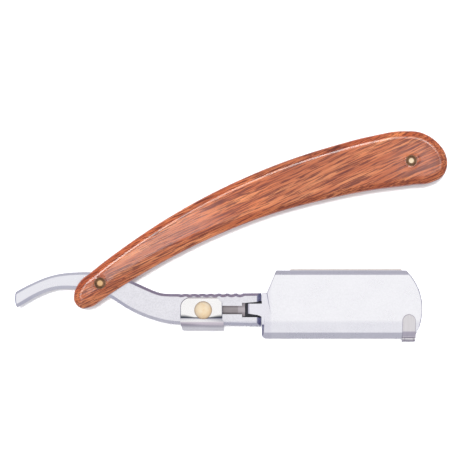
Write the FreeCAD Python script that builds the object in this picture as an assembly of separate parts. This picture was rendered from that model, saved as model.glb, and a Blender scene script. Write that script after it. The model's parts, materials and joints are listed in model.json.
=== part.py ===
import FreeCAD, Part
import math
import os
from FreeCAD import Vector

# A folding barber razor that takes half of a double-edge blade. All sizes are in millimetres.
# It is drawn about its main pivot: the pivot pin stands on the Z axis, the middle plane of the
# razor is z = 0, +X runs along the arm to the nose, +Y to the cutting edge, +Z to the front.
# DATUM then moves every piece, so that the origin lies under the middle of the whole razor.

# Overall
DATUM = Vector(-43.431, -15.46, 5.5)
FIT = 0.02                      # gap between pieces that are assembled and do not move
RUN = 0.05                      # radial clearance of a turning or sliding fit

# Handle: two wooden scales. Its own axes run from the pivot pin to the end pin.
HANDLE_ANGLE = 21.49            # degrees between the arm and the line through the two pins
PIN_DISTANCE = 111.1
SCALE_INNER = 2.4               # half of the channel between the scales
SCALE_OUTER = 5.5               # half of the handle's thickness
SCALE_BEVEL_WIDTH = 2.3
SCALE_BEVEL_DEPTH = 1.2
HANDLE_TOP = [(-1, 4.7), (12, 8.35), (32, 12.5), (52, 14.75), (70, 15.25), (88, 14.2), (102, 12.5)]
HANDLE_FAR_END = [(112, 10.3), (118, 7.3), (121.4, 2.9), (122.7, -2.2), (121.6, -6.3), (118.8, -8.8)]
HANDLE_BOTTOM = [(115.2, -9.25), (108, -7.5), (96, -4.45), (80, -1.6), (62, 0.4), (46, 0.7), (26, -0.65)]
HANDLE_NEAR_END = [
    (4, -4.2), (-1, -5.3), (-6, -6.25), (-9.2, -5.3), (-10.25, -2.9), (-9.3, 0.1), (-6.5, 2.75),
]
SPACER_RADIUS = 108.7           # inner edge of the end spacer, about the pivot pin

# Pins and their cup washers
PIVOT_RADIUS = 1.1
END_PIN_RADIUS = 1.0
PIVOT_CUP_RADIUS = 1.9
END_CUP_RADIUS = 1.82
PIN_HALF_LENGTH = 5.4
CUP_DEPTH = 0.9
CUP_LIP = 0.12                  # how far a cup's rim lies under the scale's face
TANG_WASHER_RADIUS = 3.2

# Arm: curved tail, tang, shank and rear jaw in one casting
ARM_HALF = 2.0
ARM_TOP_BEVEL = 0.8
ARM_BOTTOM_BEVEL = 1.1
TAIL_TOP = [(-28.4, -3.0), (-24.0, -0.6), (-16.1, 2.5), (-8.2, 3.5)]
SHANK_TOP = [(1.5, 3.1), (10.8, 0.3), (18.6, -3.1), (26.6, -3.75)]
SHANK_BOTTOM = [(26.4, -13.9), (17.7, -12.4), (7.5, -7.8), (0.5, -3.6)]
TAIL_BOTTOM = [(-8.2, -2.1), (-16.1, -2.45), (-24.0, -5.9), (-28.1, -8.3)]
TAIL_TIP = (-28.7, -5.6)
TAIL_TIP_BEVEL = 0.4
TAIL_TOP_SLOPE = (4.2, 2.6)
TAIL_BOTTOM_SLOPE = (-4.0, -2.2)
SHANK_END_X = 53.6
SHANK_TOP_Y = -3.5
SHANK_BOTTOM_Y = -14.5
SHANK_END_BEVEL = (1.5, 1.4)    # along the shank, and down from its front face
THUMB_NOTCHES = 8
THUMB_NOTCH_PITCH = 2.8
THUMB_NOTCH_FIRST_X = 26.9
THUMB_NOTCH_RADIUS = 1.7
THUMB_NOTCH_DEPTH = 0.4
THUMB_NOTCH_FLARE = 0.9         # how much wider a notch opens at each face

# Slot in the shank, where the lock runs
SLOT_Y = -9.05
SLOT_FLOOR = -1.0
NARROW_SLOT_WIDTH = 2.8
NARROW_SLOT_X = 30.0
WIDE_SLOT_X = 47.2
WIDE_SLOT_WIDTH = 4.8
SLOT_MOUTH_Y = -6.25            # upper edge of the wide slot, where it opens towards the head
BAR_POCKET_X = 60.8

# Head: the rear jaw of the arm and the hinged front jaw
JAW_GAP = 0.06                  # half of the gap that the blade lies in
SPINE_Y = -18.6
HEAD_TOP_Y = 4.15
NECK_X = 53.8
NECK_TOP_Y = -3.4
HEAD_SECTION = [(SPINE_Y, 0.75), (-16.6, 1.62), (-12.8, 1.8), (2.7, 1.25), (HEAD_TOP_Y, 0.45)]
NOSE_ARC = [(103.3, 2.9), (107.5, -8.0), (105.7, -16.4)]
NOSE_RIM_BEVEL = 0.3
SPINE_CORNER = 1.4
HEEL_BEVEL = (0.85, 1.2)        # along X, and down from the highest point of the face
NECK_BOTTOM_Y = -13.9
NECK_FOLD = [(55.35, -3.4), (57.15, -12.2)]
NECK_FOLD_RUN = 0.5             # over this width the neck runs down to the plate's face
TONGUE_TOP = 1.72
TONGUE_BOTTOM = 0.25
TONGUE_X = 49.2

# Blade: half of a double-edge blade
BLADE_HALF_THICKNESS = 0.05
BLADE_X = 82.0
BLADE_EDGE_Y = 4.65
BLADE_WIDTH = 10.8
BLADE_HALF_LENGTH = 21.45
BLADE_HALF_EDGE = 18.7
BLADE_SHOULDER_Y = -1.2
STUD_RADIUS = 1.1
STUD_SPACING = 23.0
STUD_TOP = 0.7

# Hinge of the front jaw, at the toe of the spine
KNUCKLE_RADIUS = 1.1
HINGE_X = (100.8, 105.2)
MIDDLE_KNUCKLE_X = (101.45, 104.55)
KNUCKLE_GAP = 0.06
HINGE_PIN_RADIUS = 0.4
LEAF_THICKNESS = 0.35
LEAF_RIM_BEVEL = 0.13
LEAF_TOP_Y = -10.5

# Lock: a clip folded round the shank, riveted to a T-ended bar
CLIP_X = (26.6, 40.6)
CLIP_TOP_Y = -4.9
CLIP_INNER = 2.05
CLIP_SHEET = 0.55
CLIP_RIM_BEVEL = 0.2
CLIP_FOLD_Y = -13.05
CLIP_FOLD_RADIUS = 2.95         # outside of the fold, fatter than the flat plates
CLIP_FOLD_TOE = 0.45            # how much further the fold reaches towards the head
CLIP_HEEL_SLANT = 0.7
CLIP_ROUND_CORNER = (2.6, 3.6)  # along X and Y
CLIP_CUT_CORNER = (1.7, 1.8)
RIVET_X = 34.2
RIVET_RADIUS = 1.0
RIVET_HEAD_RADIUS = 2.95
RIVET_HEAD_EDGE = 0.3
RIVET_HEAD_CROWN = 0.55
BAR_TOP = -0.1
BAR_END_X = 48.2
BAR_HEAD_X = 47.3
LOCK_TRAVEL = 11.4


def spline(points, first, last):
    """A smooth edge through the points, with a given direction at each end."""
    curve = Part.BSplineCurve()
    through = [Vector(x, y, 0) for x, y in points]
    curve.interpolate(Points=through, InitialTangent=Vector(*first, 0), FinalTangent=Vector(*last, 0))
    return curve.toShape()


def line(start, end):
    return Part.LineSegment(Vector(*start, 0), Vector(*end, 0)).toShape()


def arc(start, middle, end):
    return Part.Arc(Vector(*start, 0), Vector(*middle, 0), Vector(*end, 0)).toShape()


def heading_at(before, here, after):
    """The direction at the middle one of three points, on the circle through them."""
    arrive = here - before
    leave = after - here
    heading = arrive * (leave.Length / arrive.Length) + leave * (arrive.Length / leave.Length)
    return heading.normalize()


def arc_from(start, heading, end):
    """The arc that leaves start along heading and reaches end."""
    chord = end - start
    side = Vector(-chord.y, chord.x, 0)
    lean = math.atan2(chord.cross(heading).z, chord.dot(heading))
    middle = (start + end) * 0.5 + side * (0.5 * math.tan(lean / 2))
    return Part.Arc(start, middle, end).toShape()


def two_arcs(start, heading, end, final_heading):
    """Two arcs that meet smoothly and keep the given direction at both ends."""
    chord = end - start
    across = chord.dot(heading + final_heading)
    bend = 2 * (1 - heading.dot(final_heading))
    reach = (math.sqrt(across ** 2 + bend * chord.dot(chord)) - across) / bend
    first_corner = start + heading * reach
    second_corner = end - final_heading * reach
    meeting = (first_corner + second_corner) * 0.5
    shared = (meeting - first_corner).normalize()
    return [arc_from(start, heading, meeting), arc_from(meeting, shared, end)]


def prism(edges, low, high):
    """A solid with a flat outline, between two heights."""
    face = Part.Face(Part.Wire(edges))
    face.translate(Vector(0, 0, low))
    return face.extrude(Vector(0, 0, high - low))


def polygon(points):
    closed = list(points) + [points[0]]
    return [line(closed[i], closed[i + 1]) for i in range(len(points))]


def along_x(section, x_low, x_high):
    """A solid with the same section, given as (y, z) points, all along X."""
    wire = Part.makePolygon([Vector(x_low, y, z) for y, z in list(section) + [section[0]]])
    return Part.Face(wire).extrude(Vector(x_high - x_low, 0, 0))


def along_y(section, y_low, y_high):
    """A solid with the same section, given as (x, z) points, all along Y."""
    wire = Part.makePolygon([Vector(x, y_low, z) for x, z in list(section) + [section[0]]])
    return Part.Face(wire).extrude(Vector(0, y_high - y_low, 0))


def box(x_range, y_range, z_range):
    size = (x_range[1] - x_range[0], y_range[1] - y_range[0], z_range[1] - z_range[0])
    return Part.makeBox(*size, Vector(x_range[0], y_range[0], z_range[0]))


def post(radius, low, high, x=0.0, y=0.0):
    return Part.makeCylinder(radius, high - low, Vector(x, y, low), Vector(0, 0, 1))


def rod_x(radius, x_low, x_high):
    """A round bar along the hinge line of the front jaw."""
    return Part.makeCylinder(radius, x_high - x_low, Vector(x_low, SPINE_Y, 0), Vector(1, 0, 0))


def mirror_z(shape):
    return shape.mirror(Vector(0, 0, 0), Vector(0, 0, 1))


def level_edges(shape, height):
    """The edges that lie flat at one height."""
    heights = [(e, e.BoundBox.ZMin - height, e.BoundBox.ZMax - height) for e in shape.Edges]
    return [e for e, low, high in heights if abs(low) < 0.02 and abs(high) < 0.02]


def turn_handle(shape):
    """From the handle's own axes to the drawing's."""
    turned = shape.copy()
    turned.rotate(Vector(0, 0, 0), Vector(0, 0, 1), HANDLE_ANGLE)
    return turned


# ---------------------------------------------------------------- handle

def handle_outline():
    """A chain of tangent arcs round the handle, two from each point to the next."""
    loop = HANDLE_TOP + HANDLE_FAR_END + HANDLE_BOTTOM + HANDLE_NEAR_END
    points = [Vector(x, y, 0) for x, y in loop]
    count = len(points)
    headings = [heading_at(points[i - 1], points[i], points[(i + 1) % count]) for i in range(count)]
    edges = []
    for i in range(count):
        edges += two_arcs(points[i], headings[i], points[(i + 1) % count], headings[(i + 1) % count])
    return edges


def scale_slab():
    slab = prism(handle_outline(), SCALE_INNER, SCALE_OUTER)
    return slab.makeChamfer(SCALE_BEVEL_DEPTH, SCALE_BEVEL_WIDTH, level_edges(slab, SCALE_OUTER))


def front_scale():
    slab = scale_slab()
    cup_floor = SCALE_OUTER - CUP_DEPTH
    pivot_hole = post(PIVOT_RADIUS + FIT, 0, 9)
    pivot_recess = post(PIVOT_CUP_RADIUS + FIT, cup_floor, 9)
    end_hole = post(END_PIN_RADIUS + FIT, 0, 9, PIN_DISTANCE)
    end_recess = post(END_CUP_RADIUS + FIT, cup_floor, 9, PIN_DISTANCE)
    return turn_handle(slab.cut([pivot_hole, pivot_recess, end_hole, end_recess]))


def cup_washer(cup_radius, pin_radius, x):
    """A dished brass ring that fills the recess round a pin's end."""
    low = SCALE_OUTER - CUP_DEPTH + FIT
    rim = SCALE_OUTER - CUP_LIP
    middle = rim - 0.25
    dish = 0.35
    section = [
        (pin_radius + FIT, low), (cup_radius, low), (cup_radius, rim), (cup_radius - 0.2, rim),
        (cup_radius - 0.2 - dish, middle), (pin_radius + FIT, middle),
    ]
    wire = Part.makePolygon([Vector(r, 0, z) for r, z in section + [section[0]]])
    ring = Part.Face(wire).revolve(Vector(0, 0, 0), Vector(0, 0, 1), 360)
    ring.translate(Vector(x, 0, 0))
    return turn_handle(ring)


def handle_pin(radius, x):
    """A brass pin with both ends rounded over by peening."""
    pin = post(radius, -PIN_HALF_LENGTH, PIN_HALF_LENGTH, x)
    ends = level_edges(pin, PIN_HALF_LENGTH) + level_edges(pin, -PIN_HALF_LENGTH)
    return turn_handle(pin.makeFillet(0.3, ends))


def tang_washer():
    low = ARM_HALF + FIT
    high = SCALE_INNER - FIT
    return post(TANG_WASHER_RADIUS, low, high).cut(post(PIVOT_RADIUS + RUN, 0, 9))


def end_spacer():
    """Fills the wide end, clear of the nose's path when the razor is folded."""
    filler = prism(handle_outline(), -SCALE_INNER, SCALE_INNER)
    path_of_nose = post(SPACER_RADIUS, -9, 9)
    hole = post(END_PIN_RADIUS + FIT, -9, 9, PIN_DISTANCE)
    return turn_handle(filler.cut([path_of_nose, hole]))


# ---------------------------------------------------------------- arm

def arm_blank():
    top_corner = (SHANK_END_X, SHANK_TOP_Y)
    bottom_corner = (SHANK_END_X, SHANK_BOTTOM_Y)
    top = TAIL_TOP + SHANK_TOP
    bottom = SHANK_BOTTOM + TAIL_BOTTOM
    along_top = (top_corner[0] - top[-1][0], top_corner[1] - top[-1][1])
    along_bottom = (bottom[0][0] - bottom_corner[0], bottom[0][1] - bottom_corner[1])
    edges = [
        spline(top, TAIL_TOP_SLOPE, along_top), line(top[-1], top_corner), line(top_corner, bottom_corner),
        line(bottom_corner, bottom[0]), spline(bottom, along_bottom, TAIL_BOTTOM_SLOPE),
        arc(bottom[-1], TAIL_TIP, top[0]),
    ]
    blank = prism(edges, -ARM_HALF, ARM_HALF)
    bevels = [(ARM_BOTTOM_BEVEL, is_bottom_rim), (ARM_TOP_BEVEL, is_top_rim), (TAIL_TIP_BEVEL, is_tip_rim)]
    for width, chosen in bevels:
        rims = level_edges(blank, ARM_HALF) + level_edges(blank, -ARM_HALF)
        blank = blank.makeChamfer(width, [e for e in rims if chosen(e.BoundBox)])
    return blank.cut(shank_end_cutter())


def is_bottom_rim(bounds):
    """Whether an edge runs along the underside of the arm, from the tail to the end of the shank."""
    return bounds.YMin < SHANK_BOTTOM[1][1] and bounds.XMin < SHANK_END_X - 1


def is_top_rim(bounds):
    return bounds.YMin > SHANK_TOP[-1][1] - 1


def is_tip_rim(bounds):
    return bounds.XMax < TAIL_TOP[0][0] + 1


def shank_end_cutter():
    """Bevels the front of the shank's end, where the two prongs meet the head."""
    width, depth = SHANK_END_BEVEL
    start = (SHANK_END_X - width, ARM_HALF)
    end = (SHANK_END_X, ARM_HALF - depth)
    beyond, above = SHANK_END_X + 1, ARM_HALF + 1
    section = [start, end, (beyond, end[1]), (beyond, above), (start[0], above)]
    return along_y(section, SHANK_BOTTOM_Y - 1, SHANK_TOP_Y + 1)


def thumb_notches():
    """Round cutters along the top edge of the shank, flared at both faces, one for each grip notch."""
    r, flare = THUMB_NOTCH_RADIUS, THUMB_NOTCH_FLARE
    y = SHANK_TOP_Y - THUMB_NOTCH_DEPTH + r
    cutters = []
    for i in range(THUMB_NOTCHES):
        x = THUMB_NOTCH_FIRST_X + i * THUMB_NOTCH_PITCH
        start = Vector(x, y, ARM_HALF - flare)
        cone = Part.makeCone(r, r + flare + 0.1, flare + 0.1, start, Vector(0, 0, 1))
        cutters += [post(r, -9, 9, x, y), cone, mirror_z(cone)]
    return cutters


def head_outline():
    left, top, bottom = NECK_X, HEAD_TOP_Y, SPINE_Y
    r = SPINE_CORNER
    toe = (104.6, bottom)
    points = [(left, NECK_TOP_Y), (55.5, NECK_TOP_Y), (58.7, top), (102.3, top), NOSE_ARC[0]]
    edges = [line(points[i], points[i + 1]) for i in range(len(points) - 1)]
    edges.append(arc(*NOSE_ARC))
    edges.append(line(NOSE_ARC[2], toe))
    edges.append(line(toe, (left + r, bottom)))
    corner = (left + r * (1 - math.sqrt(0.5)), bottom + r * (1 - math.sqrt(0.5)))
    edges.append(arc((left + r, bottom), corner, (left, bottom + r)))
    edges.append(line((left, bottom + r), points[0]))
    return edges


def jaw_plate():
    """One half of the head, thick at the spine and thin at the cutting edge."""
    section = [(SPINE_Y, JAW_GAP)] + HEAD_SECTION + [(HEAD_TOP_Y, JAW_GAP)]
    plate = along_x(section, NECK_X - 1, 110).common(prism(head_outline(), 0, 9))
    run, depth = HEEL_BEVEL
    top = max(z for y, z in HEAD_SECTION)
    low = top - depth
    heel = [(NECK_X, low), (NECK_X + run, top), (NECK_X + run, 9), (NECK_X - 1, 9), (NECK_X - 1, low)]
    knuckle_space = rod_x(KNUCKLE_RADIUS + 0.12, HINGE_X[0] - 0.2, 110)
    return plate.cut([knuckle_space, along_y(heel, SPINE_Y - 1, HEAD_TOP_Y)])


def rim_ring(curve, base, height):
    """A coned ring that bevels the edge of a round corner, from the given base upwards."""
    r, centre = curve.Radius, curve.Center
    section = [(r, base), (r + 4, base), (r + 4, base + height), (r - height, base + height), (r, base)]
    wire = Part.makePolygon([Vector(centre.x + u, centre.y, z) for u, z in section])
    return Part.Face(wire).revolve(centre, Vector(0, 0, 1), 360)


def wedge(edge, top, bevel):
    """The section of a cutter that bevels a straight edge; bevel points into the piece from the edge."""
    low, beyond = top - abs(bevel), edge - math.copysign(1.5, bevel)
    return [(edge + bevel, top), (edge, low), (beyond, low), (beyond, top + 1), (edge + bevel, top + 1)]


def nose_rim_cutter():
    """Bevels the round nose along the wide face, tilted as that face is."""
    (y_low, z_high), (y_high, z_low) = HEAD_SECTION[2], HEAD_SECTION[3]
    ring = rim_ring(arc(*NOSE_ARC).Curve, z_high - NOSE_RIM_BEVEL, 2)
    tilt = math.degrees(math.atan2(z_low - z_high, y_high - y_low))
    ring.rotate(Vector(0, y_low, z_high), Vector(1, 0, 0), tilt)
    return ring.common(box((NOSE_ARC[0][0] - 2, 115), (-30, 9), (0, 9)))


def stud_places():
    return [(BLADE_X + side * STUD_SPACING / 2, BLADE_EDGE_Y - BLADE_WIDTH) for side in (-1, 1)]


def arm():
    blank = arm_blank().cut(thumb_notches())
    bridge = box((SHANK_END_X - 4, NECK_X + 0.5), (SHANK_BOTTOM_Y + 0.8, SHANK_TOP_Y - 0.8), (-1.9, -JAW_GAP))
    solid = blank.fuse([mirror_z(jaw_plate()), bridge])
    rail = (SLOT_FLOOR, 9)
    half_narrow = NARROW_SLOT_WIDTH / 2
    half_rivet = RIVET_RADIUS + 0.12
    slot_top = SLOT_Y + WIDE_SLOT_WIDTH / 2
    slot_bottom = SLOT_Y - WIDE_SLOT_WIDTH / 2
    wide_slot = polygon([
        (WIDE_SLOT_X, slot_bottom), (BAR_POCKET_X, slot_bottom), (BAR_POCKET_X, SLOT_MOUTH_Y),
        (SHANK_END_X, SLOT_MOUTH_Y), (BAR_END_X, slot_top), (WIDE_SLOT_X, slot_top),
    ])
    cuts = [
        post(PIVOT_RADIUS + RUN, -9, 9),
        box((NARROW_SLOT_X, WIDE_SLOT_X + 1), (SLOT_Y - half_narrow, SLOT_Y + half_narrow), rail),
        prism(wide_slot, *rail),
        box((RIVET_X, RIVET_X + LOCK_TRAVEL), (SLOT_Y - half_rivet, SLOT_Y + half_rivet), (-9, 9)),
        post(half_rivet, -9, 9, RIVET_X, SLOT_Y),
        post(half_rivet, -9, 9, RIVET_X + LOCK_TRAVEL, SLOT_Y),
    ]
    cuts += [post(STUD_RADIUS, -1.0, 9, x, y) for x, y in stud_places()]
    return solid.cut(cuts).removeSplitter()


def blade():
    x, top = BLADE_X, BLADE_EDGE_Y
    low = top - BLADE_WIDTH
    half, edge = BLADE_HALF_LENGTH, BLADE_HALF_EDGE
    shoulder = BLADE_SHOULDER_Y
    outline = polygon([
        (x - edge, top), (x + edge, top), (x + edge, shoulder), (x + half, shoulder - 0.9),
        (x + half, low), (x - half, low), (x - half, shoulder - 0.9), (x - edge, shoulder),
    ])
    sheet = prism(outline, -BLADE_HALF_THICKNESS, BLADE_HALF_THICKNESS)
    edges = [e for e in sheet.Edges if e.BoundBox.YMin > top - 0.001 and e.Length > 1]
    sheet = sheet.makeChamfer(0.045, edges)
    return sheet.cut([post(STUD_RADIUS + 0.15, -1, 1, sx, sy) for sx, sy in stud_places()])


def blade_studs():
    return Part.makeCompound([post(STUD_RADIUS, -1.0, STUD_TOP, x, y) for x, y in stud_places()])


# ---------------------------------------------------------------- front jaw and its hinge

def neck_slope():
    """What is cut from the neck, so that it runs down onto the plate's face along a slanting fold."""
    start, end = [Vector(x, y, 0) for x, y in NECK_FOLD]
    along = (end - start).normalize()
    outward = Vector(-along.y, along.x, 0)
    origin = start - along * 2
    drop = 0.45
    section = [(0, TONGUE_TOP), (NECK_FOLD_RUN, TONGUE_TOP - drop), (3, TONGUE_TOP - drop), (3, 9), (0, 9)]
    wire = Part.makePolygon([origin + outward * u + Vector(0, 0, z) for u, z in section + [section[0]]])
    return Part.Face(wire).extrude(along * 14)


def front_jaw():
    fold_top, fold_bottom = NECK_FOLD
    run = NECK_FOLD_RUN
    neck_outline = polygon([
        (NECK_X, NECK_TOP_Y), (fold_top[0] + run, NECK_TOP_Y), (fold_bottom[0] + run, fold_bottom[1]),
        (fold_bottom[0] + run, NECK_BOTTOM_Y), (NECK_X, NECK_BOTTOM_Y),
    ])
    neck = prism(neck_outline, JAW_GAP, TONGUE_TOP).cut(neck_slope())
    tongue_outline = polygon([
        (TONGUE_X, -6.95), (54.5, -6.95), (54.5, -12.0), (53.9, -11.9),
        (53.75, -11.4), (53.2, -11.0), (52.2, -10.7), (TONGUE_X, -10.25),
    ])
    tongue = prism(tongue_outline, TONGUE_BOTTOM, TONGUE_TOP)
    solid = jaw_plate().fuse([neck, tongue])
    stud_holes = [post(STUD_RADIUS + 0.25, -9, STUD_TOP + 0.15, x, y) for x, y in stud_places()]
    return solid.cut(stud_holes + [nose_rim_cutter()]).removeSplitter()


def leaf_plate():
    """A strap that lies on a jaw's face and bends over its bevel to the hinge line."""
    t = LEAF_THICKNESS
    gap = 0.01
    under = [(SPINE_Y + 1.0, 1.28), (-16.6, 1.62 + gap), (-12.8, 1.8 + gap), (LEAF_TOP_Y, 1.74 + gap)]
    over = [(LEAF_TOP_Y, 1.74 + t), (-12.8, 1.8 + t), (-16.5, 1.62 + t)]
    over += [(SPINE_Y + 0.5, 1.25 + t), (SPINE_Y, 0.9)]
    strap = along_x([(SPINE_Y, 0.5)] + under + over, *HINGE_X)
    half = (HINGE_X[1] - HINGE_X[0]) / 2
    middle = (HINGE_X[0] + HINGE_X[1]) / 2
    round_top = post(half, 0, 9, middle, LEAF_TOP_Y - half)
    straight = box(HINGE_X, (SPINE_Y - 2, LEAF_TOP_Y - half), (0, 9))
    strap = strap.common(round_top.fuse(straight)).removeSplitter()
    rim = [e for e in strap.Edges if e.BoundBox.YLength > 1.5 and e.BoundBox.ZMin > 1.62 + 0.75 * t]
    return strap.makeChamfer(LEAF_RIM_BEVEL, rim)


def leaf(front):
    """The front leaf has the middle knuckle, and the back leaf the two outer ones."""
    low, high = MIDDLE_KNUCKLE_X
    barrel = rod_x(KNUCKLE_RADIUS, *HINGE_X)
    clear = rod_x(KNUCKLE_RADIUS + 0.1, low - 9, high + 9)
    middle = box((low, high), (-30, 0), (-9, 9))
    outer = box((low - KNUCKLE_GAP, high + KNUCKLE_GAP), (-30, 0), (-9, 9))
    strap = leaf_plate() if front else mirror_z(leaf_plate())
    if front:
        knuckles = barrel.common(middle)
        strap = strap.cut(clear.cut(middle))
    else:
        knuckles = barrel.cut(outer)
        strap = strap.cut(clear.common(outer))
    bore = rod_x(HINGE_PIN_RADIUS + (RUN if front else FIT), *HINGE_X)
    return strap.fuse(knuckles).cut(bore).removeSplitter()


# ---------------------------------------------------------------- lock

def lock_clip():
    """Sheet steel folded round the lower edge of the shank, with a fat rolled fold."""
    inner, outer = CLIP_INNER, CLIP_INNER + CLIP_SHEET
    x_low, x_high = CLIP_X
    toe = x_high + CLIP_FOLD_TOE
    fold_top = CLIP_FOLD_Y + 0.6
    fold_bottom = CLIP_FOLD_Y - CLIP_FOLD_RADIUS
    start, axis = Vector(x_low, CLIP_FOLD_Y, 0), Vector(1, 0, 0)
    roll = Part.makeCylinder(CLIP_FOLD_RADIUS, toe - x_low, start, axis)
    hollow = Part.makeCylinder(CLIP_FOLD_RADIUS - CLIP_SHEET, toe - x_low, start, axis)
    body = box((x_low, toe), (CLIP_FOLD_Y, CLIP_TOP_Y), (-outer, outer)).fuse(roll)
    hollow = box((x_low, toe), (CLIP_FOLD_Y, 0), (-inner, inner)).fuse(hollow)
    dx, dy = CLIP_ROUND_CORNER
    cut_x, cut_y = CLIP_CUT_CORNER
    corner_start = (x_low, CLIP_TOP_Y - dy)
    corner_middle = (x_low + 0.26 * dx, CLIP_TOP_Y - 0.34 * dy)
    corner_end = (x_low + dx, CLIP_TOP_Y)
    path = [
        corner_end, (x_high - cut_x, CLIP_TOP_Y), (x_high, CLIP_TOP_Y - cut_y), (x_high, fold_top),
        (toe, fold_top - 0.4), (toe, fold_bottom - 1), (x_low + CLIP_HEEL_SLANT, fold_bottom - 1),
        (x_low + CLIP_HEEL_SLANT, fold_bottom), (x_low, fold_top - 0.8), corner_start,
    ]
    outline = [arc(corner_start, corner_middle, corner_end)]
    outline += [line(path[i], path[i + 1]) for i in range(len(path) - 1)]
    crease = CLIP_FOLD_Y + math.sqrt(CLIP_FOLD_RADIUS ** 2 - outer ** 2)
    bevel = CLIP_RIM_BEVEL
    corner = rim_ring(outline[0].Curve, outer - bevel, 1)
    body = body.cut(hollow).common(prism(outline, -9, 9)).cut([
        along_x(wedge(CLIP_TOP_Y, outer, -bevel), corner_end[0], x_high + 1),
        along_y(wedge(x_low, outer, bevel), crease, corner_start[1]),
        along_y(wedge(x_high, outer, -bevel), crease, CLIP_TOP_Y),
        corner.common(box((x_low - 1, corner_end[0]), (corner_start[1], CLIP_TOP_Y + 1), (0, 9))),
    ])
    return body.cut(post(RIVET_RADIUS + FIT, -9, 9, RIVET_X, SLOT_Y)).removeSplitter()


def lock_rivet():
    """Brass rivet: a broad, slightly crowned head in front, and a small peened tail behind."""
    face = CLIP_INNER + CLIP_SHEET + FIT
    tail = -(face + 0.35)
    ball = (RIVET_HEAD_RADIUS ** 2 + RIVET_HEAD_CROWN ** 2) / (2 * RIVET_HEAD_CROWN)
    centre = face + RIVET_HEAD_EDGE + RIVET_HEAD_CROWN - ball
    dome = Part.makeSphere(ball, Vector(RIVET_X, SLOT_Y, centre))
    dome = dome.common(post(RIVET_HEAD_RADIUS, face, face + 5, RIVET_X, SLOT_Y))
    shank = post(RIVET_RADIUS, tail, face + 0.1, RIVET_X, SLOT_Y)
    peened = post(1.5, tail - 0.45, tail, RIVET_X, SLOT_Y)
    peened = peened.makeFillet(0.3, level_edges(peened, tail - 0.45))
    return dome.fuse([shank, peened]).removeSplitter()


def lock_washer():
    high = -(CLIP_INNER + CLIP_SHEET + FIT)
    ring = post(2.3, high - 0.33, high, RIVET_X, SLOT_Y)
    return ring.cut(post(RIVET_RADIUS + FIT, -9, 9, RIVET_X, SLOT_Y))


def lock_bar():
    half_narrow = NARROW_SLOT_WIDTH / 2 - 0.1
    half_wide = WIDE_SLOT_WIDTH / 2 - 0.15
    height = (SLOT_FLOOR + RUN, BAR_TOP)
    shaft = box((RIVET_X - 3, BAR_HEAD_X + 0.1), (SLOT_Y - half_narrow, SLOT_Y + half_narrow), height)
    head = box((BAR_HEAD_X, BAR_END_X), (SLOT_Y - half_wide, SLOT_Y + half_wide), height)
    hole = post(RIVET_RADIUS + FIT, -9, 9, RIVET_X, SLOT_Y)
    return shaft.fuse(head).cut(hole).removeSplitter()


def pieces():
    """Every piece of the razor, by name, in the drawing's axes."""
    pivot_cup = cup_washer(PIVOT_CUP_RADIUS, PIVOT_RADIUS, 0)
    end_cup = cup_washer(END_CUP_RADIUS, END_PIN_RADIUS, PIN_DISTANCE)
    hinge_pin = rod_x(HINGE_PIN_RADIUS, *HINGE_X)
    return {
        "front_scale": front_scale(),
        "back_scale": mirror_z(front_scale()),
        "end_spacer": end_spacer(),
        "pivot_pin": handle_pin(PIVOT_RADIUS, 0),
        "pivot_cup_front": pivot_cup,
        "pivot_cup_back": mirror_z(pivot_cup),
        "tang_washer_front": tang_washer(),
        "tang_washer_back": mirror_z(tang_washer()),
        "end_pin": handle_pin(END_PIN_RADIUS, PIN_DISTANCE),
        "end_cup_front": end_cup,
        "end_cup_back": mirror_z(end_cup),
        "arm": arm(),
        "blade": blade(),
        "blade_studs": blade_studs(),
        "hinge_leaf_back": leaf(False),
        "hinge_pin": hinge_pin,
        "front_jaw": front_jaw(),
        "hinge_leaf_front": leaf(True),
        "lock_clip": lock_clip(),
        "lock_rivet": lock_rivet(),
        "lock_washer": lock_washer(),
        "lock_bar": lock_bar(),
    }


os.makedirs("parts", exist_ok=True)
for name, shape in pieces().items():
    shape.translate(DATUM)
    shape.exportStep("parts/" + name + ".step")
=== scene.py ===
import json
import math

import bmesh
import bpy
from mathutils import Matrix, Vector
from mathutils.geometry import delaunay_2d_cdt


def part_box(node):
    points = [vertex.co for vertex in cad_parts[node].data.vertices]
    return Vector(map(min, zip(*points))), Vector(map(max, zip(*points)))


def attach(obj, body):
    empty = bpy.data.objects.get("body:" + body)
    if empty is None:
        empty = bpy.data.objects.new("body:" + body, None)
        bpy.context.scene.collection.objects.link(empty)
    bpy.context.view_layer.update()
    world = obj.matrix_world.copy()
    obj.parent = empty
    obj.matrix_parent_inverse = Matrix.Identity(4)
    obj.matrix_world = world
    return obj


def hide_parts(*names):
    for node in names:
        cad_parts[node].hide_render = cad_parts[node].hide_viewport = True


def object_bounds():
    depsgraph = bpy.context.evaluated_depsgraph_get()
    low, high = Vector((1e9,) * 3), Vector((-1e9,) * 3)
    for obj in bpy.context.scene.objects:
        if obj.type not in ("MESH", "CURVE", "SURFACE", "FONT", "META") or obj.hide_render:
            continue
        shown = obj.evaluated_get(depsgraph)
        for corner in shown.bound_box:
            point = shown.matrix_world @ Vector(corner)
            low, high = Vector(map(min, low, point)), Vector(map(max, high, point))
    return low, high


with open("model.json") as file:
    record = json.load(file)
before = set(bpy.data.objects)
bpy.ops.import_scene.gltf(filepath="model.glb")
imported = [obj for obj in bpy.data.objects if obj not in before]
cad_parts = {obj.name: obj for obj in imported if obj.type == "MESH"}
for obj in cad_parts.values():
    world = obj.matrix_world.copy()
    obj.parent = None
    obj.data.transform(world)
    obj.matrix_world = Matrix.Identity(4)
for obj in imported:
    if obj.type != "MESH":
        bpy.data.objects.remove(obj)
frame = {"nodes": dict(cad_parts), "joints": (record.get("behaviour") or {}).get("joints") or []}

MM = 0.001
NODES = frame["nodes"]
CAD_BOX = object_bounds()
JOINTS = {joint["name"]: joint for joint in frame["joints"]}
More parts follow.
